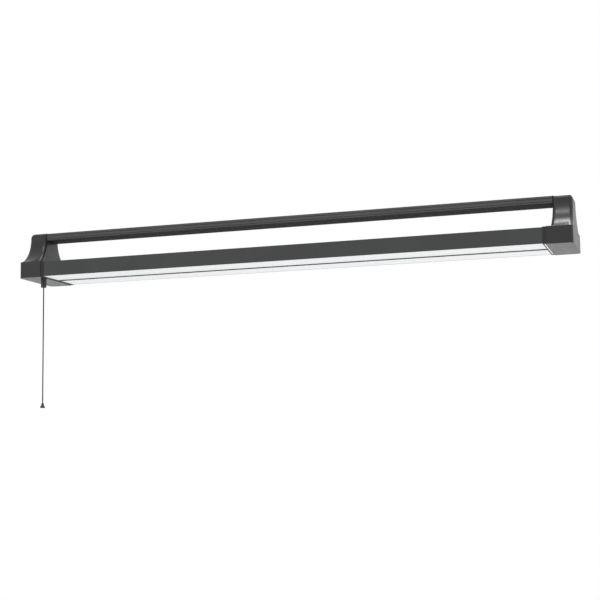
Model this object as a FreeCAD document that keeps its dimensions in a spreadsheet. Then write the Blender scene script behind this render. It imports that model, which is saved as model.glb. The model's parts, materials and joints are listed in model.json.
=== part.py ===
import FreeCAD, Part
import math
import os
import re
import Sketcher

# Hanging shop light with a pull cord.
#
# A long shallow channel carries two strips of lights behind a pair of flat lenses.
# A moulded cap closes each end and rises in a neck to the bar that the light hangs by.
# A cord under the left cap works the switch.
#
# Heights in the sketches are above the underside of the end caps. Each sub-part's
# Placement lowers it, so that the origin is the middle of the bar's top face.
# X runs along the light, Y across it and Z up. All sizes are in millimetres.

os.makedirs("parts", exist_ok=True)
Vector = FreeCAD.Vector
doc = FreeCAD.newDocument("HangingShopLight")
sheet = doc.addObject("Spreadsheet::Sheet", "Sizes")

SIZES = [
    # whole light
    ("overall_length", 1200.0),
    ("body_depth", 148.0),
    ("bar_top_height", 104.2),
    ("fit_gap", 0.15),
    # end caps: a block across the light, and a flared neck above it
    ("cap_width", 52.0),
    ("block_height", 35.5),
    ("block_corner", 10.0),
    ("edge_round", 0.8),
    ("cap_side_wall", 1.8),
    ("cap_top_wall", 1.5),
    ("cap_end_wall", 2.5),
    ("cap_rise", 0.8),
    ("neck_ledge", 10.0),
    ("neck_depth", 62.0),
    ("neck_corner", 8.0),
    ("neck_wall", 3.0),
    ("flare_ledge", 1.3),
    ("outer_flare", 1.2),
    ("inner_flare", 2.5),
    ("top_corner", 10.0),
    ("spigot_length", 18.0),
    # cover under each cap, with pegs that press into the cap's pillars
    ("cover_thick", 1.5),
    ("peg_radius", 2.0),
    ("peg_length", 12.5),
    ("peg_spread", 100.0),
    ("pillar_radius", 3.4),
    # hanging bar
    ("bar_depth", 52.0),
    ("bar_height", 15.3),
    ("bar_wall", 1.6),
    ("bar_web", 12.0),
    ("groove_width", 1.3),
    ("groove_deep", 0.9),
    ("upper_groove_drop", 4.6),
    ("lower_groove_drop", 11.0),
    ("bar_edge", 1.2),
    ("hanger_spacing", 914.4),
    ("hanger_radius", 3.0),
    ("hanger_deep", 11.0),
    # housing channel
    ("housing_rise", 1.7),
    ("housing_wall", 1.4),
    ("rim_width", 2.4),
    ("rim_height", 5.0),
    ("slot_rise", 0.9),
    ("slot_height", 1.5),
    ("slot_deep", 1.4),
    ("rib_width", 8.0),
    ("rib_deep", 8.0),
    ("rib_offset", 60.0),
    ("ledge_reach", 3.0),
    ("ledge_thick", 1.2),
    # collars between the housing and the caps
    ("collar_width", 7.0),
    ("collar_proud", 1.0),
    ("collar_lip", 1.6),
    # lenses and the divider between them
    ("lens_thick", 2.2),
    ("divider_width", 5.0),
    ("divider_web", 1.6),
    ("divider_proud", 1.5),
    ("divider_flange", 1.2),
    # tray, light strips and driver
    ("tray_height", 15.6),
    ("tray_thick", 1.2),
    ("tray_setback", 12.0),
    ("strip_width", 24.0),
    ("strip_thick", 1.0),
    ("strip_offset", 36.0),
    ("strip_setback", 12.0),
    ("chip_size", 3.0),
    ("chip_thick", 0.8),
    ("chip_pitch", 30.0),
    ("driver_start", -250.0),
    ("driver_length", 170.0),
    ("driver_width", 42.0),
    ("driver_height", 13.0),
    ("driver_wall", 0.8),
    ("circuit_thick", 1.6),
    ("circuit_lift", 1.0),
    ("lead_radius", 1.2),
    ("lead_hole", 2.2),
    ("lead_drop", 22.0),
    # power inlet and terminal block
    ("inlet_place", 25.0),
    ("inlet_height", 17.5),
    ("inlet_bore", 3.75),
    ("inlet_outer", 5.5),
    ("inlet_flange", 7.5),
    ("inlet_flange_thick", 2.0),
    ("inlet_inside", 4.0),
    ("terminal_length", 26.0),
    ("terminal_width", 26.0),
    ("terminal_height", 11.0),
    ("terminal_setback", 20.0),
    ("terminal_hole", 1.5),
    # pull switch, ferrule, cord and knob
    ("cord_inset", 45.0),
    ("cord_forward", 44.0),
    ("cord_radius", 1.3),
    ("cord_top", 8.0),
    ("cord_drop", 274.0),
    ("ferrule_top", 6.4),
    ("ferrule_mouth", 5.9),
    ("ferrule_length", 19.5),
    ("ferrule_bore", 2.1),
    ("ferrule_shank", 4.4),
    ("ferrule_nut", 6.0),
    ("nut_thick", 2.6),
    ("knob_height", 10.2),
    ("knob_radius", 5.3),
    ("knob_crown", 2.1),
    ("pull_stroke", 8.0),
    ("switch_length", 39.0),
    ("switch_front", 6.5),
    ("switch_depth", 23.0),
    ("switch_wall", 1.5),
    ("stem_radius", 1.6),
    ("disc_radius", 4.0),
    ("disc_thick", 1.5),
    ("spool_gap", 4.4),
    ("spring_radius", 3.2),
    ("spring_wire", 0.7),
    ("spring_turns", 5.0),
    ("lever_arm", 22.0),
    ("lever_width", 8.0),
    ("lever_thick", 2.0),
    ("lever_hub", 3.4),
    ("lever_reach", 3.5),
    ("pivot_height", 21.8),
    ("pivot_radius", 1.5),
    ("pivot_clear", 0.05),
    # screws
    ("screw_shank", 1.45),
    ("screw_head", 2.8),
    ("screw_head_thick", 1.35),
    ("housing_screw_length", 9.0),
    ("bar_screw_length", 11.0),
    ("bar_screw_inset", 9.0),
]

for row, (name, value) in enumerate(SIZES, start=1):
    sheet.set(f"A{row}", name)
    sheet.set(f"B{row}", str(value))
    sheet.setAlias(f"B{row}", name)
doc.recompute()

ALIAS = re.compile(r"\b(" + "|".join(name for name, value in SIZES) + r")\b")

# places that several pieces share, written in the sizes above
HALF = "(overall_length / 2)"
CAP_IN = f"({HALF} - cap_width)"
CAP_INSIDE = f"({HALF} - cap_end_wall)"
NECK_IN = f"({CAP_IN} + neck_ledge)"
NECK_OUT = f"({HALF} - flare_ledge - outer_flare)"
CAP_TOP = "(bar_top_height + cap_rise)"
BAR_BOTTOM = "(bar_top_height - bar_height)"
NECK_HALF = "(neck_depth / 2)"
FLARE_FOOT = "(body_depth / 2 - flare_ledge)"
FLARE_TOP = f"({CAP_TOP} - top_corner)"
FLARE_HEIGHT = f"({FLARE_TOP} - block_height)"
FLARE_REACH = f"({FLARE_FOOT} - {NECK_HALF})"
HOUSING_HALF = "(body_depth / 2 - cap_side_wall - fit_gap)"
HOUSING_TOP = "(block_height - cap_top_wall - fit_gap)"
HOUSING_END = f"({HALF} - block_corner - fit_gap)"
COLLAR_IN = f"({CAP_IN} - collar_width)"
HOUSING_SCREW_X = f"({CAP_IN} + (neck_ledge - inner_flare) / 2)"
BAR_SCREW_X = f"({NECK_IN} - bar_screw_inset)"
SPIGOT_IN = "(bar_web / 2 + fit_gap)"
SPIGOT_OUT = "(bar_depth / 2 - bar_wall - groove_deep - fit_gap)"
BAR_SCREW_Y = f"(({SPIGOT_IN} + {SPIGOT_OUT}) / 2)"
TRAY_TOP = "(tray_height + tray_thick)"
TRAY_END = f"({CAP_IN} - tray_setback)"
TRAY_HALF = f"({HOUSING_HALF} - housing_wall - fit_gap)"
PEG_X = f"({CAP_INSIDE} - pillar_radius - fit_gap)"
CORD_X = f"(cord_inset - {HALF})"
CORD_Y = "(-cord_forward)"
SWITCH_TOP = f"({HOUSING_TOP} - housing_wall - fit_gap)"
SWITCH_IN = f"({CORD_X} + switch_front)"
SWITCH_Y = f"({CORD_Y} - switch_depth / 2)"
SPOOL_Z = "(pivot_height + pull_stroke / 2)"
PIVOT_X = f"({CORD_X} - lever_arm)"
SWITCH_FLOOR = "(cover_thick + nut_thick)"
SPRING_LOW = f"({SWITCH_FLOOR} + switch_wall)"
SPRING_HIGH = f"({SPOOL_Z} - spool_gap / 2 - disc_thick)"
LEAD_Z = f"({TRAY_TOP} + driver_height / 2)"
PAST = 1.0  # how far a cut starts outside the solid


def flare_radius(reach):
    """Radius of an arc that is upright at the flare's top and has moved by reach at its foot."""
    return f"(({reach} ^ 2 + {FLARE_HEIGHT} ^ 2) / (2 * {reach}))"


def sized(text):
    """The same expression with each size read from the sheet."""
    return ALIAS.sub(r"Sizes.\1", str(text))


def number(text):
    """The present value of an expression of sizes."""
    value = sheet.evalExpression(str(text))
    return float(getattr(value, "Value", value))


def new_body(label):
    body = doc.addObject("PartDesign::Body", label)
    body.Label = label
    body.AllowCompound = True
    body.setExpression("Placement.Base.z", sized("-bar_top_height"))
    return body


def new_sketch(body, plane, offset):
    """A sketch on one of the body's origin planes, moved along the plane's normal."""
    drawing = body.newObject("Sketcher::SketchObject", body.Label + "_sketch")
    origin_plane = next(item for item in body.Origin.OriginFeatures if item.Role == plane)
    drawing.AttachmentSupport = [(origin_plane, "")]
    drawing.MapMode = "FlatFace"
    drawing.setExpression("AttachmentOffset.Base.z", sized(offset))
    return drawing


def pin_to_sheet(drawing, kind, first, text):
    """Add one sketch dimension that reads its value from the sheet."""
    index = drawing.addConstraint(Sketcher.Constraint(kind, *first, number(text)))
    name = f"{kind}{index}"
    drawing.renameConstraint(index, name)
    drawing.setExpression(f"Constraints.{name}", sized(text))


def outline(drawing, corners):
    """A closed outline through corners (x, y) or (x, y, radius).

    A radius bends the edge that leaves the corner: above zero it turns left,
    below zero it turns right.
    """
    places = [Vector(number(corner[0]), number(corner[1]), 0) for corner in corners]
    ends = []
    for index, corner in enumerate(corners):
        start = places[index]
        stop = places[(index + 1) % len(corners)]
        if len(corner) == 2:
            geometry = drawing.addGeometry(Part.LineSegment(start, stop))
            ends.append((geometry, 1, 2))
            continue
        bend = number(corner[2])
        chord = stop - start
        left = Vector(-chord.y, chord.x, 0).normalize()
        rise = math.sqrt(max(bend ** 2 - (chord.Length / 2) ** 2, 0.0))
        centre = (start + stop) / 2 + left * math.copysign(rise, bend)
        low, high = (start, stop) if bend > 0 else (stop, start)
        angles = [math.atan2(place.y - centre.y, place.x - centre.x) for place in (low, high)]
        circle = Part.Circle(centre, Vector(0, 0, 1), abs(bend))
        geometry = drawing.addGeometry(Part.ArcOfCircle(circle, *angles))
        ends.append((geometry, 1, 2) if bend > 0 else (geometry, 2, 1))
    for index, corner in enumerate(corners):
        geometry, start_point, stop_point = ends[index]
        following = ends[(index + 1) % len(corners)]
        drawing.addConstraint(Sketcher.Constraint(
            "Coincident", geometry, stop_point, following[0], following[1]))
        pin_to_sheet(drawing, "DistanceX", (-1, 1, geometry, start_point), corner[0])
        pin_to_sheet(drawing, "DistanceY", (-1, 1, geometry, start_point), corner[1])
        if len(corner) == 3:
            pin_to_sheet(drawing, "Radius", (geometry,), f"abs({corner[2]})")


def circle(drawing, x, y, radius):
    centre = Vector(number(x), number(y), 0)
    geometry = drawing.addGeometry(Part.Circle(centre, Vector(0, 0, 1), number(radius)))
    pin_to_sheet(drawing, "DistanceX", (-1, 1, geometry, 3), x)
    pin_to_sheet(drawing, "DistanceY", (-1, 1, geometry, 3), y)
    pin_to_sheet(drawing, "Radius", (geometry,), radius)


def rectangle(x_low, x_high, y_low, y_high):
    return [(x_low, y_low), (x_high, y_low), (x_high, y_high), (x_low, y_high)]


def finish_feature(body, feature, cuts):
    """Recompute, and make sure that a cut removed material and a pad added some."""
    before = body.Tip.Shape.Volume if body.Tip else 0.0
    body.Tip = feature
    doc.recompute()
    change = feature.Shape.Volume - before
    if (change < 0) != cuts or abs(change) < 1e-6:
        raise RuntimeError(f"{body.Label}: {feature.Name} changed nothing")
    return feature


def prism(body, plane, start, length, outlines=(), circles=(), cuts=False):
    """Pad or cut outlines from start along the plane's normal: +Z, +X, or -Y from high Y."""
    base = body.Tip
    drawing = new_sketch(body, plane, f"-({start})" if plane == "XZ_Plane" else start)
    for corners in outlines:
        outline(drawing, corners)
    for x, y, radius in circles:
        circle(drawing, x, y, radius)
    doc.recompute()
    kind = "Pocket" if cuts else "Pad"
    feature = body.newObject("PartDesign::" + kind, body.Label + "_" + kind.lower())
    feature.Profile = drawing
    feature.Reversed = cuts
    feature.setExpression("Length", sized(length))
    body.Tip = base
    return finish_feature(body, feature, cuts)


def turned(body, plane, corners, x, y, cuts=False):
    """Turn a profile of (radius, height) corners about the vertical line through x, y."""
    base = body.Tip
    drawing = new_sketch(body, plane, f"-({y})")
    outline(drawing, [(f"{x} + ({corner[0]})",) + tuple(corner[1:]) for corner in corners])
    axis = drawing.addGeometry(Part.LineSegment(
        Vector(number(x), -PAST, 0), Vector(number(x), PAST, 0)), True)
    pin_to_sheet(drawing, "DistanceX", (-1, 1, axis, 1), x)
    pin_to_sheet(drawing, "DistanceY", (-1, 1, axis, 1), -PAST)
    pin_to_sheet(drawing, "DistanceX", (-1, 1, axis, 2), x)
    pin_to_sheet(drawing, "DistanceY", (-1, 1, axis, 2), PAST)
    doc.recompute()
    kind = "Groove" if cuts else "Revolution"
    feature = body.newObject("PartDesign::" + kind, body.Label + "_turned")
    feature.Profile = drawing
    feature.ReferenceAxis = (drawing, ["Axis0"])
    feature.Angle = 360
    body.Tip = base
    return finish_feature(body, feature, cuts)


def screw_seat(body, x, y, top, wall):
    """Countersunk hole from the face at height top down through one wall."""
    hole = "screw_shank + fit_gap"
    rim = "screw_head + fit_gap"
    turned(body, "XZ_Plane", [
        ("0", f"{top} + {PAST}"),
        ("0", f"{top} - {wall} - {PAST / 2}"),
        (hole, f"{top} - {wall} - {PAST / 2}"),
        (hole, f"{top} - screw_head_thick"),
        (rim, top),
        (rim, f"{top} + {PAST}"),
    ], x, y, cuts=True)


def round_edges(body, radius, chosen):
    """Round the edges of the body's last feature that chosen(edge) picks."""
    base = body.Tip
    names = [f"Edge{index}" for index, edge in enumerate(base.Shape.Edges, start=1)
             if chosen(edge)]
    if not names:
        raise RuntimeError(f"{body.Label}: no edge to round")
    feature = body.newObject("PartDesign::Fillet", body.Label + "_fillet")
    feature.Base = (base, names)
    feature.setExpression("Radius", sized(radius))
    body.Tip = feature
    doc.recompute()
    if "Invalid" in feature.State:
        raise RuntimeError(f"{body.Label}: {radius} can't be rounded on {names}")
    return feature


def between(value, low, high):
    return low - 1e-3 <= value <= high + 1e-3


def solid_feature(label, shape):
    """A sub-part whose shape is set here, lowered like the others."""
    item = doc.addObject("Part::Feature", label)
    item.Label = label
    item.Shape = shape
    item.Placement = FreeCAD.Placement(
        Vector(0, 0, -number("bar_top_height")), FreeCAD.Rotation())
    return item


# ---------------------------------------------------------------- end caps

def flare_profile(inset, low, high):
    """Neck outline across the light, with its flare drawn in by inset, from low to high."""
    radius = f"({flare_radius(FLARE_REACH)} + {inset})"
    centre = f"({NECK_HALF} + {flare_radius(FLARE_REACH)})"

    def half_depth(height):
        return f"({centre} - sqrt({radius} ^ 2 - ({FLARE_TOP} - ({height})) ^ 2))"

    straight = f"({NECK_HALF} - {inset})"
    if high is None:
        top = [(straight, FLARE_TOP), (straight, CAP_TOP)]
        top_left = [("-" + straight, CAP_TOP), ("-" + straight, FLARE_TOP, f"-{radius}")]
    else:
        top = [(half_depth(high), high)]
        top_left = [("-" + half_depth(high), high, f"-{radius}")]
    foot = half_depth(low)
    return [("-" + foot, low), (foot, low, f"-{radius}")] + top + top_left


def end_cap(label, side):
    """Moulded cap: a block over the housing's end and a flared neck up to the bar."""
    body = new_body(label)

    def along(low, high):
        """Low end and length of a stretch of X on this side of the light."""
        start = low if side > 0 else f"-({high})"
        return start, f"({high}) - ({low})"

    def box_outline(low, high, half_depth, corner):
        """Plan of the block or its cavity, with rounded corners at the outer end."""
        bend = f"{side} * {corner}"
        return [
            (f"{side} * ({low})", f"-{half_depth}"),
            (f"{side} * ({high} - {corner})", f"-{half_depth}", bend),
            (f"{side} * ({high})", f"-({half_depth} - {corner})"),
            (f"{side} * ({high})", f"{half_depth} - {corner}", bend),
            (f"{side} * ({high} - {corner})", half_depth),
            (f"{side} * ({low})", half_depth),
        ]

    # neck: its profile across the light, trimmed to its outline seen from the front
    start, length = along(f"{NECK_IN} - inner_flare", f"{HALF} - flare_ledge")
    prism(body, "YZ_Plane", start, length, [flare_profile("0", "block_height", None)])
    beyond = f"{HALF} + {PAST}"
    within = f"{NECK_IN} - inner_flare - {PAST}"
    over = f"{CAP_TOP} + {PAST}"
    prism(body, "XZ_Plane", f"body_depth / 2 + {PAST}", f"body_depth + {2 * PAST}", [
        [(f"{side} * ({beyond})", "block_height"),
         (f"{side} * ({HALF} - flare_ledge)", "block_height",
          f"{-side} * {flare_radius('outer_flare')}"),
         (f"{side} * {NECK_OUT}", FLARE_TOP, f"{side} * top_corner"),
         (f"{side} * ({NECK_OUT} - top_corner)", CAP_TOP),
         (f"{side} * ({NECK_OUT} - top_corner)", over),
         (f"{side} * ({beyond})", over)],
        [(f"{side} * ({within})", "block_height"),
         (f"{side} * ({NECK_IN} - inner_flare)", "block_height",
          f"{side} * {flare_radius('inner_flare')}"),
         (f"{side} * {NECK_IN}", FLARE_TOP),
         (f"{side} * {NECK_IN}", over),
         (f"{side} * ({within})", over)]], cuts=True)
    round_edges(body, "neck_corner", neck_corner(side))
    half_depth = "(body_depth / 2)"
    prism(body, "XY_Plane", "0", "block_height",
          [box_outline(CAP_IN, HALF, half_depth, "block_corner")])
    round_edges(body, "edge_round", block_rim(side))
    # the block is open towards the housing and at the bottom
    side_cavity = "(body_depth / 2 - cap_side_wall)"
    prism(body, "XY_Plane", f"-{PAST}", f"block_height - cap_top_wall + {PAST}",
          [box_outline(f"{CAP_IN} - {PAST}", CAP_INSIDE, side_cavity,
                       "(block_corner - cap_side_wall)")], cuts=True)
    start, length = along(f"{NECK_IN} + neck_wall", f"{NECK_OUT} - neck_wall")
    prism(body, "YZ_Plane", start, length,
          [flare_profile("neck_wall", f"(block_height - cap_top_wall - {PAST / 2})",
                         f"({BAR_BOTTOM} - neck_wall)")], cuts=True)
    # pillars for the cover's pegs, and spigots that reach into the bar
    pegs = [(f"{side} * {PEG_X}", f"{sign} * peg_spread / 2") for sign in (-1, 1)]
    prism(body, "XY_Plane", "cover_thick + fit_gap",
          "block_height - cap_top_wall - cover_thick - fit_gap",
          circles=[peg + ("pillar_radius",) for peg in pegs])
    prism(body, "XY_Plane", "0", "peg_length + 1",
          circles=[peg + ("peg_radius + fit_gap / 3",) for peg in pegs], cuts=True)
    start, length = along(f"{NECK_IN} - spigot_length", f"{NECK_IN} + neck_wall / 2")
    prism(body, "YZ_Plane", start, length, [
        rectangle(f"{sign} * {SPIGOT_IN}", f"{sign} * {SPIGOT_OUT}",
                  f"{BAR_BOTTOM} + bar_wall + fit_gap", "bar_top_height - bar_wall - fit_gap")
        for sign in (-1, 1)])
    prism(body, "XY_Plane", f"{BAR_BOTTOM}", "bar_height", circles=[
        (f"{side} * {BAR_SCREW_X}", f"{sign} * {BAR_SCREW_Y}", "screw_shank + fit_gap / 3")
        for sign in (-1, 1)], cuts=True)
    for sign in (-1, 1):
        screw_seat(body, f"{side} * {HOUSING_SCREW_X}", f"{sign} * rib_offset",
                   "block_height", "cap_top_wall")
    if side < 0:
        start, length = along(f"{CAP_INSIDE} - {PAST}", beyond)
        prism(body, "YZ_Plane", start, length,
              circles=[("inlet_place", "inlet_height", "inlet_outer + fit_gap")], cuts=True)
    return body


def neck_corner(side):
    """Test for the neck's long corner edges, on its inner and its outer face."""
    inner = number(f"({NECK_IN}) + 1")
    outer = number(f"({NECK_OUT}) - top_corner - 1")

    def test(edge):
        box = edge.BoundBox
        place = side * edge.CenterOfMass.x
        corner = min(abs(box.YMin), abs(box.YMax)) > 1
        return box.ZLength > 1 and corner and (place < inner or place > outer)

    return test


def block_rim(side):
    """Test for the edges around the block's upper face, away from the housing."""
    end = number(HALF) - 1e-3
    height = number("block_height")
    flank = number("body_depth / 2") - 1e-3

    def test(edge):
        box = edge.BoundBox
        reach = max(abs(box.YMin), abs(box.YMax))
        if box.ZLength > 1e-3 or not between(box.ZMin, height, height):
            return False
        if box.XLength < 1e-3:
            return side * edge.CenterOfMass.x > end
        return reach > flank

    return test


def base_cover(label, side):
    """Cover that closes a cap from below, flush with its rim, on two pressed pegs."""
    body = new_body(label)
    half_depth = "(body_depth / 2 - cap_side_wall - fit_gap)"
    corner = "(block_corner - cap_side_wall)"
    high = f"({CAP_INSIDE} - fit_gap)"
    bend = f"{side} * {corner}"
    prism(body, "XY_Plane", "0", "cover_thick", [[
        (f"{side} * {CAP_IN}", f"-{half_depth}"),
        (f"{side} * ({high} - {corner})", f"-{half_depth}", bend),
        (f"{side} * {high}", f"-({half_depth} - {corner})"),
        (f"{side} * {high}", f"{half_depth} - {corner}", bend),
        (f"{side} * ({high} - {corner})", half_depth),
        (f"{side} * {CAP_IN}", half_depth),
    ]])
    prism(body, "XY_Plane", "cover_thick", "peg_length - cover_thick", circles=[
        (f"{side} * {PEG_X}", f"{sign} * peg_spread / 2", "peg_radius") for sign in (-1, 1)])
    if side < 0:
        prism(body, "XY_Plane", f"-{PAST}", f"cover_thick + {2 * PAST}",
              circles=[(CORD_X, CORD_Y, "ferrule_shank + fit_gap")], cuts=True)
    return body


# ---------------------------------------------------------------- bar, housing, collars

def hanging_bar():
    """Hollow bar between the necks, with two shallow grooves along each side."""
    body = new_body("hanging_bar")
    half = "(bar_depth / 2)"
    top = "bar_top_height"
    edge = "bar_edge"

    def side_points(sign):
        """Corners down one side, from the top edge to the bottom edge."""
        turn = f"{-sign} * {edge}"
        rows = [(f"{sign} * ({half} - {edge})", top, turn),
                (f"{sign} * {half}", f"{top} - {edge}")]
        for drop in ("upper_groove_drop", "lower_groove_drop"):
            rows += [(f"{sign} * {half}", f"{top} - {drop}"),
                     (f"{sign} * ({half} - groove_deep)", f"{top} - {drop} - groove_width / 3"),
                     (f"{sign} * ({half} - groove_deep)", f"{top} - {drop} - groove_width * 2 / 3"),
                     (f"{sign} * {half}", f"{top} - {drop} - groove_width")]
        rows += [(f"{sign} * {half}", f"{BAR_BOTTOM} + {edge}", turn),
                 (f"{sign} * ({half} - {edge})", BAR_BOTTOM)]
        return rows

    right = side_points(1)
    left = side_points(-1)
    # walking the far side upwards turns its two corner arcs the same way round
    bottom_left, top_left = left[-1], left[1]
    climb = [(bottom_left[0], bottom_left[1], f"-{edge}"), left[-2][:2]]
    climb += [corner[:2] for corner in reversed(left[2:-2])]
    climb += [(top_left[0], top_left[1], f"-{edge}"), left[0][:2]]
    end = f"({NECK_IN} - fit_gap)"
    prism(body, "YZ_Plane", f"-{end}", f"2 * {end}", [right + climb])
    prism(body, "YZ_Plane", f"-{end} - {PAST}", f"2 * ({end} + {PAST})", [
        rectangle(f"{sign} * bar_web / 2", f"{sign} * ({half} - bar_wall - groove_deep)",
                  f"{BAR_BOTTOM} + bar_wall", f"{top} - bar_wall")
        for sign in (-1, 1)], cuts=True)
    prism(body, "XY_Plane", f"{top} - hanger_deep", f"hanger_deep + {PAST}", circles=[
        (f"{sign} * hanger_spacing / 2", "0", "hanger_radius") for sign in (-1, 1)], cuts=True)
    for side in (-1, 1):
        for sign in (-1, 1):
            screw_seat(body, f"{side} * {BAR_SCREW_X}", f"{sign} * {BAR_SCREW_Y}",
                       top, "bar_wall")
    return body


def housing_channel():
    """Extruded channel, open below, with slots for the lenses and rails for the tray."""
    body = new_body("housing_channel")
    low = "housing_rise"
    inside = f"({HOUSING_HALF} - housing_wall)"
    rim = f"({HOUSING_HALF} - rim_width)"
    ceiling = f"({HOUSING_TOP} - housing_wall)"
    rail = f"({inside} - ledge_reach)"
    half_outline = [
        (HOUSING_HALF, f"{HOUSING_TOP}"),
        (HOUSING_HALF, low),
        (rim, low),
        (rim, f"{low} + slot_rise"),
        (f"{rim} + slot_deep", f"{low} + slot_rise"),
        (f"{rim} + slot_deep", f"{low} + slot_rise + slot_height"),
        (rim, f"{low} + slot_rise + slot_height"),
        (rim, f"{low} + rim_height"),
        (inside, f"{low} + rim_height"),
        (inside, "tray_height - fit_gap - ledge_thick"),
        (rail, "tray_height - fit_gap - ledge_thick"),
        (rail, "tray_height - fit_gap"),
        (inside, "tray_height - fit_gap"),
        (inside, f"{TRAY_TOP} + fit_gap"),
        (rail, f"{TRAY_TOP} + fit_gap"),
        (rail, f"{TRAY_TOP} + fit_gap + ledge_thick"),
        (inside, f"{TRAY_TOP} + fit_gap + ledge_thick"),
        (inside, ceiling),
        ("rib_offset + rib_width / 2", ceiling),
        ("rib_offset + rib_width / 2", f"{ceiling} - rib_deep"),
        ("rib_offset - rib_width / 2", f"{ceiling} - rib_deep"),
        ("rib_offset - rib_width / 2", ceiling),
    ]
    mirrored = [(f"-({x})", z) for x, z in reversed(half_outline)]
    prism(body, "YZ_Plane", f"-{HOUSING_END}", f"2 * {HOUSING_END}", [half_outline + mirrored])
    deep = "housing_screw_length"
    prism(body, "XY_Plane", f"block_height - {deep} - fit_gap", f"{deep} + {PAST}", circles=[
        (f"{side} * {HOUSING_SCREW_X}", f"{sign} * rib_offset", "screw_shank + fit_gap / 3")
        for side in (-1, 1) for sign in (-1, 1)], cuts=True)
    return body


def end_collar(label, side):
    """Thin frame between the housing and a cap, with a window below for the lenses' ends."""
    body = new_body(label)
    start = COLLAR_IN if side > 0 else f"-{CAP_IN}"
    outer = f"({HOUSING_HALF} + collar_proud)"
    inner = f"({HOUSING_HALF} + fit_gap)"
    prism(body, "YZ_Plane", start, "collar_width - fit_gap", [
        rectangle(f"-{outer}", outer, "housing_rise - collar_proud",
                  f"{HOUSING_TOP} + collar_proud"),
        rectangle(f"-{inner}", inner, "housing_rise - fit_gap", f"{HOUSING_TOP} + fit_gap")])
    low = f"({start} + collar_lip)"
    window = f"({HOUSING_HALF} - rim_width)"
    prism(body, "XY_Plane", f"housing_rise - collar_proud - {PAST}", f"collar_proud + {PAST}", [
        rectangle(low, f"{low} + collar_width - fit_gap - 2 * collar_lip",
                  f"-{window}", window)], cuts=True)
    return body


# ---------------------------------------------------------------- lenses

def lens(label, sign):
    """Flat lens, one edge in the housing's slot and the other in the divider."""
    body = new_body(label)
    low = "housing_rise"
    edge = f"({HOUSING_HALF} - rim_width - fit_gap)"
    tongue = f"({edge} + slot_deep - fit_gap)"
    inner = "(divider_web / 2 + fit_gap)"
    prism(body, "YZ_Plane", f"-({CAP_IN} - fit_gap)", f"2 * ({CAP_IN} - fit_gap)", [[
        (f"{sign} * {inner}", low),
        (f"{sign} * {edge}", low),
        (f"{sign} * {edge}", f"{low} + slot_rise + fit_gap"),
        (f"{sign} * {tongue}", f"{low} + slot_rise + fit_gap"),
        (f"{sign} * {tongue}", f"{low} + lens_thick"),
        (f"{sign} * {inner}", f"{low} + lens_thick"),
    ]])
    return body


def lens_divider():
    """Strip between the lenses: a foot below them and a web up to the tray."""
    body = new_body("lens_divider")
    foot = "(divider_width / 2)"
    web = "(divider_web / 2)"
    low = "housing_rise"
    shelf = f"({low} + lens_thick + fit_gap)"
    head = f"(tray_height - fit_gap)"
    half_outline = [
        (foot, head),
        (foot, f"{head} - divider_flange"),
        (web, f"{head} - divider_flange"),
        (web, f"{shelf} + divider_flange"),
        (foot, f"{shelf} + divider_flange"),
        (foot, shelf),
        (web, shelf),
        (web, low),
        (foot, low),
        (foot, f"{low} - divider_proud"),
    ]
    mirrored = [(f"-{x}", z) for x, z in reversed(half_outline)]
    prism(body, "YZ_Plane", f"-({COLLAR_IN} - fit_gap)", f"2 * ({COLLAR_IN} - fit_gap)",
          [half_outline + mirrored])
    return body


# ---------------------------------------------------------------- tray and electrics

def gear_tray():
    """White tray that slides on the housing's rails and reflects the light down."""
    body = new_body("gear_tray")
    prism(body, "XY_Plane", "tray_height", "tray_thick",
          [rectangle(f"-{TRAY_END}", TRAY_END, f"-{TRAY_HALF}", TRAY_HALF)])
    prism(body, "XY_Plane", f"tray_height - {PAST}", f"tray_thick + {2 * PAST}", circles=[
        (LEAD_HOLE_X, f"{sign} * strip_offset", "lead_hole") for sign in (-1, 1)], cuts=True)
    return body


DRIVER_END = "(driver_start + driver_length)"
LEAD_HOLE_X = f"({DRIVER_END} + lead_drop)"


def led_board(label, sign):
    body = new_body(label)
    end = f"({TRAY_END} - strip_setback)"
    prism(body, "XY_Plane", "tray_height - strip_thick", "strip_thick", [
        rectangle(f"-{end}", end, f"{sign} * strip_offset - strip_width / 2",
                  f"{sign} * strip_offset + strip_width / 2")])
    return body


def led_chips(label, sign):
    """Row of chips under one board: as many as the pitch leaves room for."""
    size = number("chip_size")
    thick = number("chip_thick")
    pitch = number("chip_pitch")
    reach = number(f"{TRAY_END} - strip_setback") - size
    steps = int(reach // pitch)
    low = number("tray_height - strip_thick - chip_thick")
    middle = sign * number("strip_offset")
    chips = [Part.makeBox(size, size, thick, Vector(step * pitch - size / 2, middle - size / 2, low))
             for step in range(-steps, steps + 1)]
    return solid_feature(label, Part.makeCompound(chips))


def driver_case():
    """Folded cover over the driver's circuit board, standing on the tray."""
    body = new_body("driver_case")
    half = "(driver_width / 2)"
    prism(body, "XY_Plane", TRAY_TOP, "driver_height",
          [rectangle("driver_start", DRIVER_END, f"-{half}", half)])
    prism(body, "XY_Plane", f"{TRAY_TOP} - {PAST}", f"driver_height - driver_wall + {PAST}",
          [rectangle("driver_start + driver_wall", f"{DRIVER_END} - driver_wall",
                     f"-({half} - driver_wall)", f"{half} - driver_wall")], cuts=True)
    return body


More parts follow.
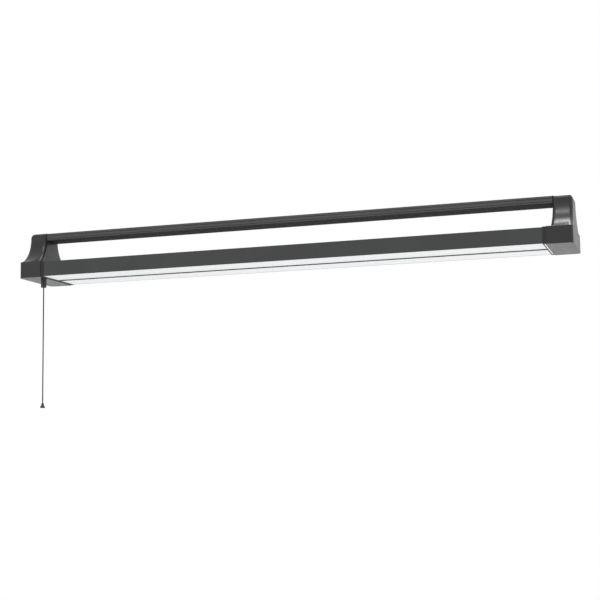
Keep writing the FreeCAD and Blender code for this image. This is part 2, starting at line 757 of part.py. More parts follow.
def driver_board():
    """Circuit board on two feet, with a transformer, a capacitor and a coil."""
    body = new_body("driver_board")
    half = "(driver_width / 2 - driver_wall - 1)"
    low = "(driver_start + driver_wall + 2)"
    high = f"({DRIVER_END} - driver_wall - 2)"
    board = f"({TRAY_TOP} + circuit_lift)"
    deck = f"({board} + circuit_thick)"
    prism(body, "XY_Plane", board, "circuit_thick", [rectangle(low, high, f"-{half}", half)])
    prism(body, "XY_Plane", TRAY_TOP, "circuit_lift",
          circles=[(f"{low} + 8", "0", "3"), (f"{high} - 8", "0", "3")])
    prism(body, "XY_Plane", deck, "driver_height * 0.6",
          [rectangle(f"{low} + 60", f"{low} + 84", "-11", "11")],
          [(f"{low} + 30", "6", "6"), (f"{low} + 120", "-4", "7")])
    return body


def terminal_block():
    """Block where the supply meets the light's own leads, standing on the left cover."""
    body = new_body("terminal_block")
    outer = f"(terminal_setback - {HALF})"
    inner = f"({outer} + terminal_length)"
    prism(body, "XY_Plane", "cover_thick", "terminal_height", [
        rectangle(outer, inner, "inlet_place - terminal_width / 2",
                  "inlet_place + terminal_width / 2")])
    height = "(cover_thick + terminal_height * 0.7)"
    prism(body, "YZ_Plane", f"{outer} - {PAST}", f"7 + {PAST}", circles=[
        (f"inlet_place + {step} * terminal_width / 4", height, "terminal_hole")
        for step in (-1, 0, 1)], cuts=True)
    return body


def inlet_bush():
    """Bush in the left cap's end wall, where a power cord goes in."""
    body = new_body("inlet_bush")
    prism(body, "YZ_Plane", f"-({HALF} + inlet_flange_thick)", "inlet_flange_thick",
          circles=[("inlet_place", "inlet_height", "inlet_flange")])
    prism(body, "YZ_Plane", f"-{HALF}", "cap_end_wall + inlet_inside",
          circles=[("inlet_place", "inlet_height", "inlet_outer")])
    round_edges(body, "inlet_flange_thick * 0.4",
                lambda edge: edge.BoundBox.XMax < -number(HALF) - 1e-3)
    prism(body, "YZ_Plane", f"-({HALF} + inlet_flange_thick + {PAST})",
          f"inlet_flange_thick + cap_end_wall + inlet_inside + {2 * PAST}",
          circles=[("inlet_place", "inlet_height", "inlet_bore")], cuts=True)
    return body


def tube_along(places, radius, bend):
    """Tube through places, straight runs joined by tangent arcs of one bend radius."""
    edges = []
    start = places[0]
    for before, corner, after in zip(places, places[1:], places[2:]):
        arrive = (corner - before).normalize()
        leave = (after - corner).normalize()
        half_turn = arrive.getAngle(leave) / 2
        inset = bend * math.tan(half_turn)
        first = corner - arrive * inset
        last = corner + leave * inset
        inward = (leave - arrive).normalize()
        middle = corner + inward * (bend / math.cos(half_turn) - bend)
        edges += [Part.LineSegment(start, first).toShape(), Part.Arc(first, middle, last).toShape()]
        start = last
    edges.append(Part.LineSegment(start, places[-1]).toShape())
    path = Part.Wire(edges)
    direction = places[1] - places[0]
    section = Part.Wire([Part.Circle(places[0], direction, radius).toShape()])
    tube = path.makePipeShell([section], True, False)
    expected = math.pi * radius ** 2 * path.Length
    if abs(tube.Volume - expected) > 0.02 * expected:
        raise RuntimeError("a lead's volume doesn't match its length")
    return tube


def internal_leads():
    """Leads from the terminal block to the switch and driver, and on to the light strips."""
    radius = number("lead_radius")
    bend = 3 * radius
    block_inner = number(f"terminal_setback - {HALF} + terminal_length")
    block_y = number("inlet_place")
    low = number("cover_thick + terminal_height * 0.4")
    high = number(LEAD_Z)
    lid = number(f"{SWITCH_Y} + switch_depth")
    switch_x = block_inner - number("terminal_length") / 2
    solid_feature("switch_lead", tube_along([
        Vector(switch_x, number("inlet_place - terminal_width / 2"), low),
        Vector(switch_x, lid / 3, low),
        Vector(switch_x, lid / 2, low + 4),
        Vector(switch_x, lid, low + 4)], radius, bend))
    tray_start = -number(TRAY_END)
    run_in = (tray_start + block_inner) / 2
    driver_y = number("driver_width") / 4
    solid_feature("driver_lead", tube_along([
        Vector(block_inner, block_y, low),
        Vector(block_inner + 2 * bend, block_y, low),
        Vector(run_in + 2 * bend, block_y, high),
        Vector(tray_start + 10 * bend, block_y, high),
        Vector(tray_start + 20 * bend, driver_y, high),
        Vector(number("driver_start"), driver_y, high)], radius, bend))
    drop_x = number(LEAD_HOLE_X)
    for label, sign in (("board_lead_front", -1), ("board_lead_rear", 1)):
        solid_feature(label, tube_along([
            Vector(number(DRIVER_END), sign * driver_y, high),
            Vector(number(DRIVER_END) + number("lead_drop") / 2, sign * driver_y, high),
            Vector(drop_x, sign * number("strip_offset"), high),
            Vector(drop_x, sign * number("strip_offset"), number("tray_height"))],
            radius, bend))


# ---------------------------------------------------------------- pull switch

def switch_case():
    """Box of the pull switch, open towards its lid."""
    body = new_body("switch_case")
    outer = f"({SWITCH_IN} - switch_length)"
    back = f"({SWITCH_Y} + switch_depth - switch_wall - fit_gap)"
    depth = f"switch_depth - switch_wall - fit_gap"
    prism(body, "XZ_Plane", back, depth,
          [rectangle(outer, SWITCH_IN, SWITCH_FLOOR, SWITCH_TOP)])
    prism(body, "XZ_Plane", f"{back} + {PAST}", f"{depth} - switch_wall + {PAST}", [
        rectangle(f"{outer} + switch_wall", f"{SWITCH_IN} - switch_wall",
                  f"{SWITCH_FLOOR} + switch_wall", f"{SWITCH_TOP} - switch_wall")], cuts=True)
    prism(body, "XY_Plane", f"{SWITCH_FLOOR} - {PAST}", f"switch_wall + {2 * PAST}",
          circles=[(CORD_X, CORD_Y, "stem_radius + fit_gap * 2")], cuts=True)
    prism(body, "XZ_Plane", f"{SWITCH_Y} + switch_wall + {PAST}", f"switch_wall + {2 * PAST}",
          circles=[(PIVOT_X, "pivot_height", "pivot_radius")], cuts=True)
    return body


def switch_lid():
    body = new_body("switch_lid")
    outer = f"({SWITCH_IN} - switch_length)"
    prism(body, "XZ_Plane", f"{SWITCH_Y} + switch_depth", "switch_wall",
          [rectangle(outer, SWITCH_IN, SWITCH_FLOOR, SWITCH_TOP)])
    prism(body, "XZ_Plane", f"{SWITCH_Y} + switch_depth + {PAST}", f"switch_wall + {2 * PAST}",
          circles=[(PIVOT_X, "pivot_height", "pivot_radius")], cuts=True)
    return body


def lever_pin():
    """Pin across the case that the lever rocks on."""
    body = new_body("lever_pin")
    prism(body, "XZ_Plane", f"{SWITCH_Y} + switch_depth", "switch_depth",
          circles=[(PIVOT_X, "pivot_height", "pivot_radius")])
    return body


def switch_lever():
    """Forked lever on the pin. At rest it points up to the stem's spool."""
    body = doc.addObject("PartDesign::Body", "switch_lever")
    body.Label = "switch_lever"
    body.Placement = FreeCAD.Placement(Vector(), FreeCAD.Rotation(Vector(0, 1, 0), -1))
    body.setExpression("Placement.Base.x", sized(PIVOT_X))
    body.setExpression("Placement.Base.y", sized(CORD_Y))
    body.setExpression("Placement.Base.z", sized("pivot_height - bar_top_height"))
    body.setExpression("Placement.Rotation.Angle",
                       sized("-asin(pull_stroke / 2 / lever_arm)"))
    half = "lever_width / 2"
    reach = "lever_arm + lever_reach"
    prism(body, "XZ_Plane", half, "lever_width",
          [rectangle("-lever_hub - 3", reach, "-lever_thick / 2", "lever_thick / 2")])
    prism(body, "XZ_Plane", half, "lever_width", circles=[("0", "0", "lever_hub")])
    prism(body, "XZ_Plane", f"{half} + {PAST}", f"lever_width + {2 * PAST}",
          circles=[("0", "0", "pivot_radius + pivot_clear")], cuts=True)
    slot = "(stem_radius + 4 * fit_gap)"
    prism(body, "XY_Plane", f"-lever_hub - {PAST}", f"2 * lever_hub + {2 * PAST}",
          [rectangle(f"lever_arm - {slot} - 1", f"{reach} + {PAST}", f"-{slot}", slot)],
          cuts=True)
    return body


def switch_contacts():
    """Pair of brass contact strips on the case's outer end wall."""
    body = new_body("switch_contacts")
    wall = f"({SWITCH_IN} - switch_length + switch_wall)"
    for sign in (-1, 1):
        low = f"{CORD_Y} + {sign} * 5 - 2"
        prism(body, "XY_Plane", "pivot_height - 10", "5",
              [rectangle(wall, f"{wall} + 0.6", low, f"{low} + 4")])
        prism(body, "XY_Plane", "pivot_height - 10", "0.6",
              [rectangle(f"{wall} + 0.6", f"{wall} + 5", low, f"{low} + 4")])
    return body


def pull_stem():
    """Stem with a spool for the lever. The cord hangs from its lower end."""
    body = new_body("pull_stem")
    lower = f"({SPOOL_Z} - spool_gap / 2)"
    upper = f"({SPOOL_Z} + spool_gap / 2)"
    rod = "stem_radius"
    turned(body, "XZ_Plane", [
        ("0", "cord_top"),
        (rod, "cord_top"),
        (rod, f"{lower} - disc_thick"),
        ("disc_radius", f"{lower} - disc_thick"),
        ("disc_radius", lower),
        (rod, lower),
        (rod, upper),
        ("disc_radius", upper),
        ("disc_radius", f"{upper} + disc_thick"),
        ("0", f"{upper} + disc_thick"),
    ], CORD_X, CORD_Y)
    return body


def biarc(start, start_way, stop, stop_way):
    """Two arcs that join start to stop and keep both directions."""
    span = stop - start
    total = start_way + stop_way
    shrink = 2 * (1 - start_way.dot(stop_way))
    along = span.dot(total)
    reach = (math.sqrt(along ** 2 + shrink * span.dot(span)) - along) / shrink
    middle = (start + start_way * reach + stop - stop_way * reach) / 2
    arcs = []
    for low, high, way in ((start, middle, start_way), (stop, middle, stop_way * -1)):
        chord = high - low
        unit = chord / chord.Length
        rise = way - unit * way.dot(unit)
        half_angle = way.getAngle(chord)
        top = low + chord / 2 + rise / rise.Length * (chord.Length / 2 * math.tan(half_angle / 2))
        ends = (low, top, high) if low is start else (high, top, low)
        arcs.append(Part.Arc(*ends).toShape())
    return arcs


def return_spring():
    """Coil spring under the stem's lower disc, wound in quarter turns of two arcs."""
    wire = number("spring_wire")
    coil = number("spring_radius")
    low = number(SPRING_LOW) + wire / 2 + 0.05
    high = number(SPRING_HIGH) - wire / 2 - 0.05
    turns = number("spring_turns")
    pitch = (high - low) / turns
    centre = Vector(number(CORD_X), number(CORD_Y), 0)
    steps = int(round(turns * 4))

    def place(angle):
        height = low + pitch * angle / (2 * math.pi)
        return centre + Vector(coil * math.cos(angle), coil * math.sin(angle), height)

    def way(angle):
        return Vector(-coil * math.sin(angle), coil * math.cos(angle),
                      pitch / (2 * math.pi)).normalize()

    arcs = []
    quarter = 2 * math.pi * turns / steps
    for step in range(steps):
        first = step * quarter
        arcs += biarc(place(first), way(first), place(first + quarter), way(first + quarter))
    path = Part.Wire(arcs)
    section = Part.Wire([Part.Circle(place(0), way(0), wire / 2).toShape()])
    return solid_feature("return_spring", path.makePipeShell([section], True, False))


def cord_ferrule():
    """Tapered bush that clamps the switch to the cover and guides the cord."""
    body = new_body("cord_ferrule")
    turned(body, "XZ_Plane", [
        ("ferrule_bore", "-ferrule_length"),
        ("ferrule_mouth", "-ferrule_length"),
        ("ferrule_top", "0"),
        ("ferrule_shank", "0"),
        ("ferrule_shank", "cover_thick"),
        ("ferrule_nut", "cover_thick"),
        ("ferrule_nut", "cover_thick + nut_thick"),
        ("ferrule_bore", "cover_thick + nut_thick"),
    ], CORD_X, CORD_Y)
    return body


def pull_cord():
    """Cord that hangs straight from the stem to the knob under the knob's weight."""
    body = new_body("pull_cord")
    prism(body, "XY_Plane", "-cord_drop", "cord_drop + cord_top",
          circles=[(CORD_X, CORD_Y, "cord_radius")])
    return body


def pull_knob():
    """Small bell with a rounded crown and a hollow mouth."""
    body = new_body("pull_knob")
    low = "(-cord_drop - knob_height)"
    lip = 1.2
    turned(body, "XZ_Plane", [
        ("0", "-cord_drop"),
        ("knob_crown", "-cord_drop"),
        ("knob_crown + 0.5", "-cord_drop - 0.6"),
        ("knob_crown + 0.9", "-cord_drop - knob_height * 0.42"),
        ("knob_radius", f"{low} + 2.4"),
        ("knob_radius", f"{low} + 0.4"),
        ("knob_radius - 0.4", low),
        (f"knob_radius - {lip}", low),
        (f"knob_radius - {lip} - 1", f"{low} + 2"),
        ("0", f"{low} + 2"),
    ], CORD_X, CORD_Y)
    return body


# ---------------------------------------------------------------- screws

def screw(length):
    """Countersunk screw that points down, with the flat of its head at zero."""
    shank = number("screw_shank")
    head = number("screw_head")
    thick = number("screw_head_thick")
    recess_width = 0.8
    recess_reach = head * 1.1
    profile = Part.makePolygon([
        Vector(0, 0, 0), Vector(head, 0, 0), Vector(shank, 0, -thick),
        Vector(shank, 0, shank - length), Vector(0, 0, -length), Vector(0, 0, 0)])
    shape = Part.Face(profile).revolve(Vector(), Vector(0, 0, 1), 360)
    for turn in (0, 90):
        slot = Part.makeBox(recess_reach, recess_width, thick, Vector(
            -recess_reach / 2, -recess_width / 2, -thick * 0.7))
        slot.rotate(Vector(), Vector(0, 0, 1), turn)
        shape = shape.cut(slot)
    return shape


def screw_group(label, length, x, y, top):
    """Screws at both ends of the light and on both sides, with their heads at height top."""
    copies = []
    for side in (-1, 1):
        for sign in (-1, 1):
            copy = screw(length)
            copy.translate(Vector(side * number(x), sign * number(y), number(top)))
            copies.append(copy)
    return solid_feature(label, Part.makeCompound(copies))


end_cap("end_cap_left", -1)
end_cap("end_cap_right", 1)
base_cover("base_cover_left", -1)
base_cover("base_cover_right", 1)
hanging_bar()
housing_channel()
end_collar("end_collar_left", -1)
end_collar("end_collar_right", 1)
lens("lens_front", -1)
lens("lens_rear", 1)
lens_divider()
gear_tray()
led_board("led_board_front", -1)
led_board("led_board_rear", 1)
led_chips("led_chips_front", -1)
led_chips("led_chips_rear", 1)
driver_case()
driver_board()
terminal_block()
inlet_bush()
internal_leads()
switch_case()
switch_lid()
lever_pin()
switch_lever()
switch_contacts()
pull_stem()
return_spring()
cord_ferrule()
pull_cord()
pull_knob()
screw_group("housing_screws", number("housing_screw_length"),
            HOUSING_SCREW_X, "rib_offset", "block_height")
screw_group("bar_screws", number("bar_screw_length"),
            BAR_SCREW_X, BAR_SCREW_Y, "bar_top_height")

# ---------------------------------------------------------------- check and export

doc.recompute()
for item in doc.Objects:
    if "Invalid" in item.State or "Error" in item.State:
        raise RuntimeError(f"{item.Label} failed: {item.State}")

pieces = [item for item in doc.Objects
          if item.TypeId == "PartDesign::Body" or item.TypeId == "Part::Feature"]
for piece in pieces:
    if piece.Shape.isNull() or not piece.Shape.isValid() or not piece.Shape.Solids:
        raise RuntimeError(f"{piece.Label} has no valid solid")
    piece.Shape.exportStep(f"parts/{piece.Label}.step")
    print(f"{piece.Label}: {len(piece.Shape.Solids)} solid(s), {piece.Shape.Volume:.0f} mm3")
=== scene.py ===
"""Looks of a hanging shop light: finishes, cord, camera and studio light.

Places are in metres in the row frame, whose origin is the middle of the bar's top face.
"""
import json
import math

import bpy
from mathutils import Matrix, Vector


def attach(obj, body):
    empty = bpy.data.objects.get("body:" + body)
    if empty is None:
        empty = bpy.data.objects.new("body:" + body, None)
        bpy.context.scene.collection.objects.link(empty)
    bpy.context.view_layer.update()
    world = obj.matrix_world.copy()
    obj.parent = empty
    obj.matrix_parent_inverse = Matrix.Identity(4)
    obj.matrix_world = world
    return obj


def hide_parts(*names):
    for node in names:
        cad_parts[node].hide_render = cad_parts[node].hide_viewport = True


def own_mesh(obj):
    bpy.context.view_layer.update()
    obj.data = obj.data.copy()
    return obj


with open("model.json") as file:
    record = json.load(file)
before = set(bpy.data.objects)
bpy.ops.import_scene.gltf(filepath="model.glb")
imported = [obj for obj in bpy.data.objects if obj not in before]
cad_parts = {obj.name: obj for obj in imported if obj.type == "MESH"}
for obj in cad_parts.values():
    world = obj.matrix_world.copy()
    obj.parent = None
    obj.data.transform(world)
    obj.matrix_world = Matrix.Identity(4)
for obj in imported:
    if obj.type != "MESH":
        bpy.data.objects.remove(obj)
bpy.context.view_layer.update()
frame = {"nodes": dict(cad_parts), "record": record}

# camera, fitted to the photograph's edges
CAMERA_PLACE = Vector((0.848397, -2.634887, -0.53273))
CAMERA_YAW = math.radians(17.394)
CAMERA_PITCH = math.radians(7.342)
CAMERA_ROLL = math.radians(0.897)
FOCAL_LENGTH = 79.47
SENSOR = 36.0

# pull cord
CORD_RADIUS = 0.0013
CORD_X, CORD_Y = -0.555, -0.044
CORD_TOP = -0.0962
CORD_END = -0.3782
BRAID_PITCH = 0.006
BRAID_STRANDS = 8
SETTLE_RADII = 12

# studio
FLOOR_HEIGHT = -1.25
FLOOR_REACH = 3.0
WORLD_LIGHT = 0.85
# name, place, target, width, height and watts of each lamp
LIGHTS = (
    ("over_front", (0.45, -1.1, 1.7), (0.45, 0, -0.05), 1.2, 0.35, 14.0),
    ("over_right", (0.55, 0.95, 1.7), (0.55, 0, -0.05), 0.9, 1.5, 46.0),
    ("front_left", (-1.7, -3.2, 0.7), (-0.2, 0, -0.05), 1.2, 0.8, 2.5),
)

# finishes
NOISE_LOW, NOISE_HIGH = 0.3, 0.7
EDGE_SAMPLES = 6
EDGE_GAIN = 2.5
LOOKS_DOWN = -0.5


# ---------------------------------------------------------------- materials

class Shader:
    """A material's node tree, with short calls for the nodes used here."""

    def __init__(self, name):
        self.material = bpy.data.materials.new(name)
        self.material.use_nodes = True
        self.tree = self.material.node_tree
        self.principled = self.tree.nodes["Principled BSDF"]
        self.place = self.node("ShaderNodeTexCoord").outputs["Object"]

    def node(self, kind, **inputs):
        made = self.tree.nodes.new(kind)
        for name, value in inputs.items():
            self.feed(made.inputs[name.replace("_", " ")], value)
        return made

    def feed(self, socket, value):
        if isinstance(value, bpy.types.NodeSocket):
            self.tree.links.new(value, socket)
        else:
            socket.default_value = value

    def math(self, operation, first, second=0.0):
        made = self.tree.nodes.new("ShaderNodeMath")
        made.operation = operation
        self.feed(made.inputs[0], first)
        self.feed(made.inputs[1], second)
        return made.outputs[0]

    def noise(self, scale, stretch=(1, 1, 1), detail=3.0):
        """Noise of a scale in cycles per metre, stretched along each axis."""
        mapped = self.node("ShaderNodeMapping", Vector=self.place, Scale=stretch)
        made = self.node("ShaderNodeTexNoise", Vector=mapped.outputs[0], Scale=scale,
                         Detail=detail)
        return made.outputs["Fac"]

    def blend(self, factor, low, high):
        """Colour between low and high by a factor that runs over the noise's usual range."""
        ramp = self.tree.nodes.new("ShaderNodeValToRGB")
        ramp.color_ramp.elements[0].position = NOISE_LOW
        ramp.color_ramp.elements[1].position = NOISE_HIGH
        ramp.color_ramp.elements[0].color = (*low, 1)
        ramp.color_ramp.elements[1].color = (*high, 1)
        self.feed(ramp.inputs[0], factor)
        return ramp.outputs[0]

    def span(self, factor, low, high):
        """Number between low and high by a factor that runs over the noise's usual range."""
        made = self.node("ShaderNodeMapRange", Value=factor)
        for index, value in enumerate((NOISE_LOW, NOISE_HIGH, low, high), start=1):
            made.inputs[index].default_value = value
        return made.outputs[0]

    def mix(self, factor, first, second):
        made = self.tree.nodes.new("ShaderNodeMix")
        made.data_type = "RGBA"
        self.feed(made.inputs["Factor"], factor)
        self.feed(made.inputs[6], first)
        self.feed(made.inputs[7], second)
        return made.outputs[2]

    def bump(self, height, depth):
        return self.node("ShaderNodeBump", Height=height, Distance=depth)

    def set(self, **inputs):
        for name, value in inputs.items():
            self.feed(self.principled.inputs[name.replace("_", " ")], value)


def shade(colour, factor):
    return tuple(min(1.0, channel * factor) for channel in colour)


def lit_and_rubbed_edges(shader, radius):
    """How far the surface lies on a rounded edge: 0 on a flat face and 1 on a sharp edge; edges
    are painted lighter by it, partly as wear and partly as a painted highlight.
    """
    rounded = shader.tree.nodes.new("ShaderNodeBevel")
    rounded.samples = EDGE_SAMPLES
    rounded.inputs["Radius"].default_value = radius
    flat = shader.tree.nodes.new("ShaderNodeNewGeometry")
    turned = shader.tree.nodes.new("ShaderNodeVectorMath")
    turned.operation = "DOT_PRODUCT"
    shader.tree.links.new(rounded.outputs[0], turned.inputs[0])
    shader.tree.links.new(flat.outputs["Normal"], turned.inputs[1])
    mask = shader.math("SUBTRACT", 1.0, turned.outputs["Value"])
    return shader.math("MULTIPLY", mask, EDGE_GAIN), rounded.outputs[0]


def moulded(name, colour, roughness, grain=900.0, depth=0.00002, rub_and_highlight=0.35, radius=0.0006):
    """Moulded plastic: a fine spark-eroded grain, faint mottling, and edges painted lighter,
    partly as wear and partly as a painted highlight.
    """
    shader = Shader(name)
    base = shader.blend(shader.noise(14.0), shade(colour, 0.86), shade(colour, 1.14))
    edge, rounded = lit_and_rubbed_edges(shader, radius)
    # edges painted lighter: partly wear, partly a painted highlight
    rubbed_and_highlit = shader.math("MULTIPLY", edge, rub_and_highlight)
    colour_out = shader.mix(rubbed_and_highlit, base, (*shade(colour, 2.2), 1))
    bump = shader.bump(shader.noise(grain, detail=2.0), depth)
    shader.feed(bump.inputs["Normal"], rounded)
    shader.set(Base_Color=colour_out, Normal=bump.outputs[0],
               Roughness=shader.span(shader.noise(60.0), roughness - 0.05, roughness + 0.05))
    return shader.material


def coated(name, colour, roughness, peel=350.0, depth=0.00004, radius=0.0004, dull=0.0):
    """Powder coat on an extrusion: orange peel, long faint draw lines, and edges painted lighter,
    partly as thin coat and partly as a painted highlight.

    dull is how much rougher the coat is on faces that look down, where less of it lands.
    """
    shader = Shader(name)
    mottle = shader.blend(shader.noise(9.0), shade(colour, 0.88), shade(colour, 1.12))
    edge, rounded = lit_and_rubbed_edges(shader, radius)
    # edges painted lighter: partly thin coat, partly a painted highlight
    rubbed_and_highlit = shader.math("MULTIPLY", edge, 0.25)
    colour_out = shader.mix(rubbed_and_highlit, mottle, (*shade(colour, 2.0), 1))
    lines = shader.noise(500.0, stretch=(0.01, 1, 1))
    height = shader.math("ADD", shader.noise(peel), shader.math("MULTIPLY", lines, 0.5))
    bump = shader.bump(height, depth)
    shader.feed(bump.inputs["Normal"], rounded)
    gloss = shader.span(shader.noise(40.0), roughness - 0.04, roughness + 0.06)
    shader.set(Base_Color=colour_out, Normal=bump.outputs[0], Roughness=gloss)
    if dull:
        normal = shader.node("ShaderNodeNewGeometry").outputs["Normal"]
        facing = shader.node("ShaderNodeSeparateXYZ", Vector=normal)
        below = shader.math("LESS_THAN", facing.outputs["Z"], LOOKS_DOWN)
        shader.set(Roughness=shader.math("ADD", gloss, shader.math("MULTIPLY", below, dull)))
    return shader.material


def diffuser(name, colour, glow):
    """Lit lens: glowing white with a fine frost and a soft drift in brightness."""
    shader = Shader(name)
    drift = shader.noise(3.0, stretch=(1, 3, 1))
    frost = shader.noise(1400.0, detail=2.0)
    shader.set(Base_Color=shader.blend(drift, shade(colour, 0.97), colour),
               Emission_Color=shader.blend(drift, (0.95, 0.975, 1.0), (1.0, 1.0, 1.0)),
               Roughness=shader.span(frost, 0.38, 0.5),
               Normal=shader.bump(frost, 0.00002).outputs[0])
    shader.principled.inputs["Emission Strength"].default_value = glow
    return shader.material


def metal(name, colour, roughness, stretch=(1, 1, 1), scale=600.0):
    """Bare or plated metal with fine scratches along one way."""
    shader = Shader(name)
    scratches = shader.noise(scale, stretch=stretch)
    shader.set(Base_Color=shader.blend(shader.noise(60.0), shade(colour, 0.85), colour),
               Roughness=shader.span(scratches, roughness - 0.08, roughness + 0.12),
               Normal=shader.bump(scratches, 0.00001).outputs[0])
    shader.principled.inputs["Metallic"].default_value = 1.0
    return shader.material


def circuit(name):
    """Green circuit board with paler tracks and speckled parts."""
    shader = Shader(name)
    cells = shader.node("ShaderNodeTexVoronoi", Vector=shader.place, Scale=220.0)
    tracks = shader.math("GREATER_THAN", cells.outputs["Distance"], 0.62)
    green = shader.blend(shader.noise(40.0), (0.02, 0.11, 0.045), (0.035, 0.16, 0.06))
    shader.set(Base_Color=shader.mix(tracks, green, (0.10, 0.30, 0.12, 1)),
               Roughness=shader.span(shader.noise(90.0), 0.3, 0.45),
               Normal=shader.bump(tracks, 0.00005).outputs[0])
    return shader.material


def braided(name, colour):
    """Fine round braid: two sets of strands that wind opposite ways about the cord."""
    shader = Shader(name)
    apart = shader.node("ShaderNodeSeparateXYZ", Vector=shader.place)
    across = shader.math("SUBTRACT", apart.outputs["X"], CORD_X)
    away = shader.math("SUBTRACT", apart.outputs["Y"], CORD_Y)
    turn = shader.math("MULTIPLY", shader.math("ARCTAN2", away, across), BRAID_STRANDS / 2)
    climb = shader.math("MULTIPLY", apart.outputs["Z"], 2 * math.pi / BRAID_PITCH * 2)
    left = shader.math("SINE", shader.math("ADD", turn, climb))
    right = shader.math("SINE", shader.math("SUBTRACT", turn, climb))
    weave = shader.math("MULTIPLY", shader.math("ADD", shader.math("MULTIPLY", left, right), 1.0),
                        0.5)
    shader.set(Base_Color=shader.blend(weave, shade(colour, 0.55), shade(colour, 1.3)),
               Roughness=shader.span(weave, 0.75, 0.9),
               Normal=shader.bump(weave, 0.00015).outputs[0])
    return shader.material


def make_materials():
    """Materials by the record's slot names."""
    dark = (0.013, 0.0132, 0.0138)
    return {
        "cap_plastic": moulded("cap_plastic", dark, 0.32, depth=0.00001),
        "housing_paint": coated("housing_paint", (0.031, 0.032, 0.033), 0.42),
        "bar_paint": coated("bar_paint", (0.052, 0.053, 0.054), 0.42, dull=0.5),
        "collar_plastic": moulded("collar_plastic", (0.007, 0.007, 0.0075), 0.5),
        "lens_white": diffuser("lens_white", (0.74, 0.75, 0.76), 0.06),
        "divider_plastic": moulded("divider_plastic", (0.012, 0.012, 0.0125), 0.5),
        "tray_white": coated("tray_white", (0.80, 0.80, 0.79), 0.5),
        "board_white": moulded("board_white", (0.78, 0.79, 0.77), 0.4),
        "chip_yellow": moulded("chip_yellow", (0.85, 0.68, 0.2), 0.3, rub_and_highlight=0.0),
        "driver_metal": metal("driver_metal", (0.62, 0.62, 0.63), 0.35, (0.02, 1, 1)),
        "circuit_green": circuit("circuit_green"),
        "terminal_white": moulded("terminal_white", (0.72, 0.72, 0.69), 0.35),
        "bush_rubber": moulded("bush_rubber", (0.012, 0.012, 0.0125), 0.7, grain=1500.0),
        "lead_sleeve": moulded("lead_sleeve", (0.66, 0.66, 0.63), 0.45, radius=0.0001),
        "switch_plastic": moulded("switch_plastic", (0.018, 0.018, 0.019), 0.45),
        "lever_plastic": moulded("lever_plastic", (0.66, 0.63, 0.55), 0.4, radius=0.0002),
        "contact_brass": metal("contact_brass", (0.78, 0.57, 0.24), 0.3),
        "steel": metal("steel", (0.60, 0.60, 0.59), 0.3, scale=900.0),
        "ferrule_plastic": moulded("ferrule_plastic", (0.016, 0.016, 0.0165), 0.42),
        "cord_braid": braided("cord_braid", (0.03, 0.03, 0.031)),
        "knob_plastic": moulded("knob_plastic", (0.012, 0.012, 0.0125), 0.42, radius=0.0003),
    }


def dress_nodes(materials):
    """Give each CAD node the material of its slot in the record."""
    for part in frame["record"]["subparts"]:
        node = frame["nodes"][part["node"]]
        for slot in node.material_slots:
            slot.material = materials[part["material_slot"]]
        for face in node.data.polygons:
            face.use_smooth = True


# ---------------------------------------------------------------- cord

def pull_cord(material):
    """The pull cord hangs straight under its knob's weight, from the stem to the knob."""
    settle = SETTLE_RADII * CORD_RADIUS
    heights = (CORD_TOP, CORD_TOP - settle, CORD_END + settle, CORD_END)
    curve = bpy.data.curves.new("braided_cord", "CURVE")
    curve.dimensions = "3D"
    spline = curve.splines.new("NURBS")
    spline.points.add(len(heights) - 1)
    for point, height in zip(spline.points, heights):
        point.co = (CORD_X, CORD_Y, height, 1)
    spline.order_u = 3
    spline.use_endpoint_u = True
    curve.bevel_depth = CORD_RADIUS
    curve.bevel_resolution = 6
    curve.resolution_u = 24
    curve.use_fill_caps = True
    curve.materials.append(material)
    cord = bpy.data.objects.new("braided_cord", curve)
    bpy.context.collection.objects.link(cord)
    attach(cord, "pull")
    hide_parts("pull_cord")


def switch_spring():
    """The switch's spring, as its own copy of the CAD node's mesh, carried with the light."""
    node = frame["nodes"]["return_spring"]
    spring = bpy.data.objects.new("squeezed_spring", node.data.copy())
    bpy.context.collection.objects.link(spring)
    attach(spring, "light")
    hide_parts("return_spring")
    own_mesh(spring)


# ---------------------------------------------------------------- stage

def make_camera():
    turn = (Matrix.Rotation(CAMERA_YAW, 3, "Z") @ Matrix.Rotation(CAMERA_PITCH, 3, "X")
            @ Matrix.Rotation(CAMERA_ROLL, 3, "Y"))
    right, forward, up = turn.col
    placed = Matrix((right, up, -forward)).transposed().to_4x4()
    placed.translation = CAMERA_PLACE
    data = bpy.data.cameras.new("camera")
    data.lens = FOCAL_LENGTH
    data.sensor_width = SENSOR
    data.clip_end = 50.0
    camera = bpy.data.objects.new("camera", data)
    camera.matrix_world = placed
    bpy.context.collection.objects.link(camera)
    bpy.context.scene.camera = camera


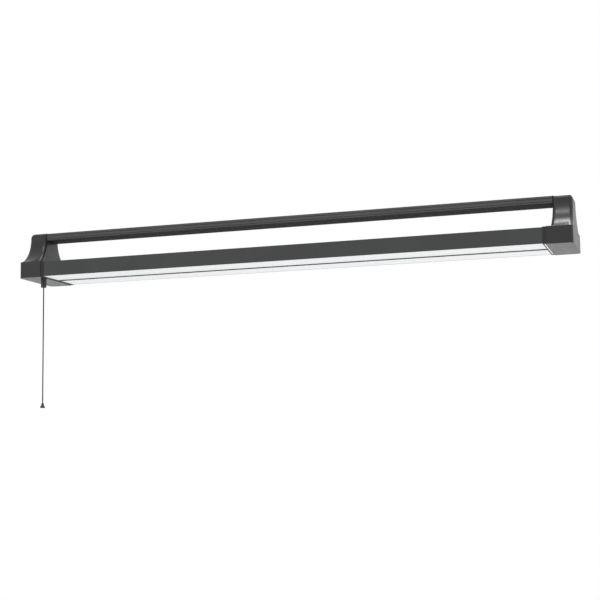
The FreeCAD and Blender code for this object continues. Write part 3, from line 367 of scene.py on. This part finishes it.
def area_light(name, place, target, width, height, watts):
    data = bpy.data.lights.new(name, "AREA")
    data.shape = "RECTANGLE"
    data.size = width
    data.size_y = height
    data.energy = watts
    light = bpy.data.objects.new(name, data)
    light.location = place
    light.rotation_mode = "QUATERNION"
    light.rotation_quaternion = (Vector(target) - Vector(place)).to_track_quat("-Z", "Y")
    bpy.context.collection.objects.link(light)


def make_world(strength):
    """White backdrop for the camera, and an even light of the given strength."""
    world = bpy.data.worlds.new("studio")
    bpy.context.scene.world = world
    world.use_nodes = True
    tree = world.node_tree
    backdrop = tree.nodes["Background"]
    backdrop.inputs["Color"].default_value = (1, 1, 1, 1)
    backdrop.inputs["Strength"].default_value = 1.0
    light = tree.nodes.new("ShaderNodeBackground")
    light.inputs["Strength"].default_value = strength
    light.inputs["Color"].default_value = (1, 1, 1, 1)
    path = tree.nodes.new("ShaderNodeLightPath")
    mix = tree.nodes.new("ShaderNodeMixShader")
    tree.links.new(path.outputs["Is Camera Ray"], mix.inputs[0])
    tree.links.new(light.outputs[0], mix.inputs[1])
    tree.links.new(backdrop.outputs[0], mix.inputs[2])
    tree.links.new(mix.outputs[0], tree.nodes["World Output"].inputs["Surface"])


def make_floor():
    """Plain pale floor, far below the hanging light."""
    mesh = bpy.data.meshes.new("floor")
    corners = [(x * FLOOR_REACH, y * FLOOR_REACH, FLOOR_HEIGHT)
               for x, y in ((-1, -1), (1, -1), (1, 1), (-1, 1))]
    mesh.from_pydata(corners, [], [(0, 1, 2, 3)])
    floor = bpy.data.objects.new("floor", mesh)
    bpy.context.collection.objects.link(floor)
    shader = Shader("floor_white")
    shader.set(Base_Color=shader.blend(shader.noise(4.0), (0.86, 0.86, 0.86), (0.9, 0.9, 0.9)),
               Roughness=shader.span(shader.noise(30.0), 0.85, 0.95))
    mesh.materials.append(shader.material)


materials = make_materials()
dress_nodes(materials)
pull_cord(materials["cord_braid"])
switch_spring()
make_camera()
make_world(WORLD_LIGHT)
make_floor()
for light in LIGHTS:
    area_light(*light)

scene = bpy.context.scene
scene.view_settings.view_transform = "Standard"
scene.view_settings.look = "None"
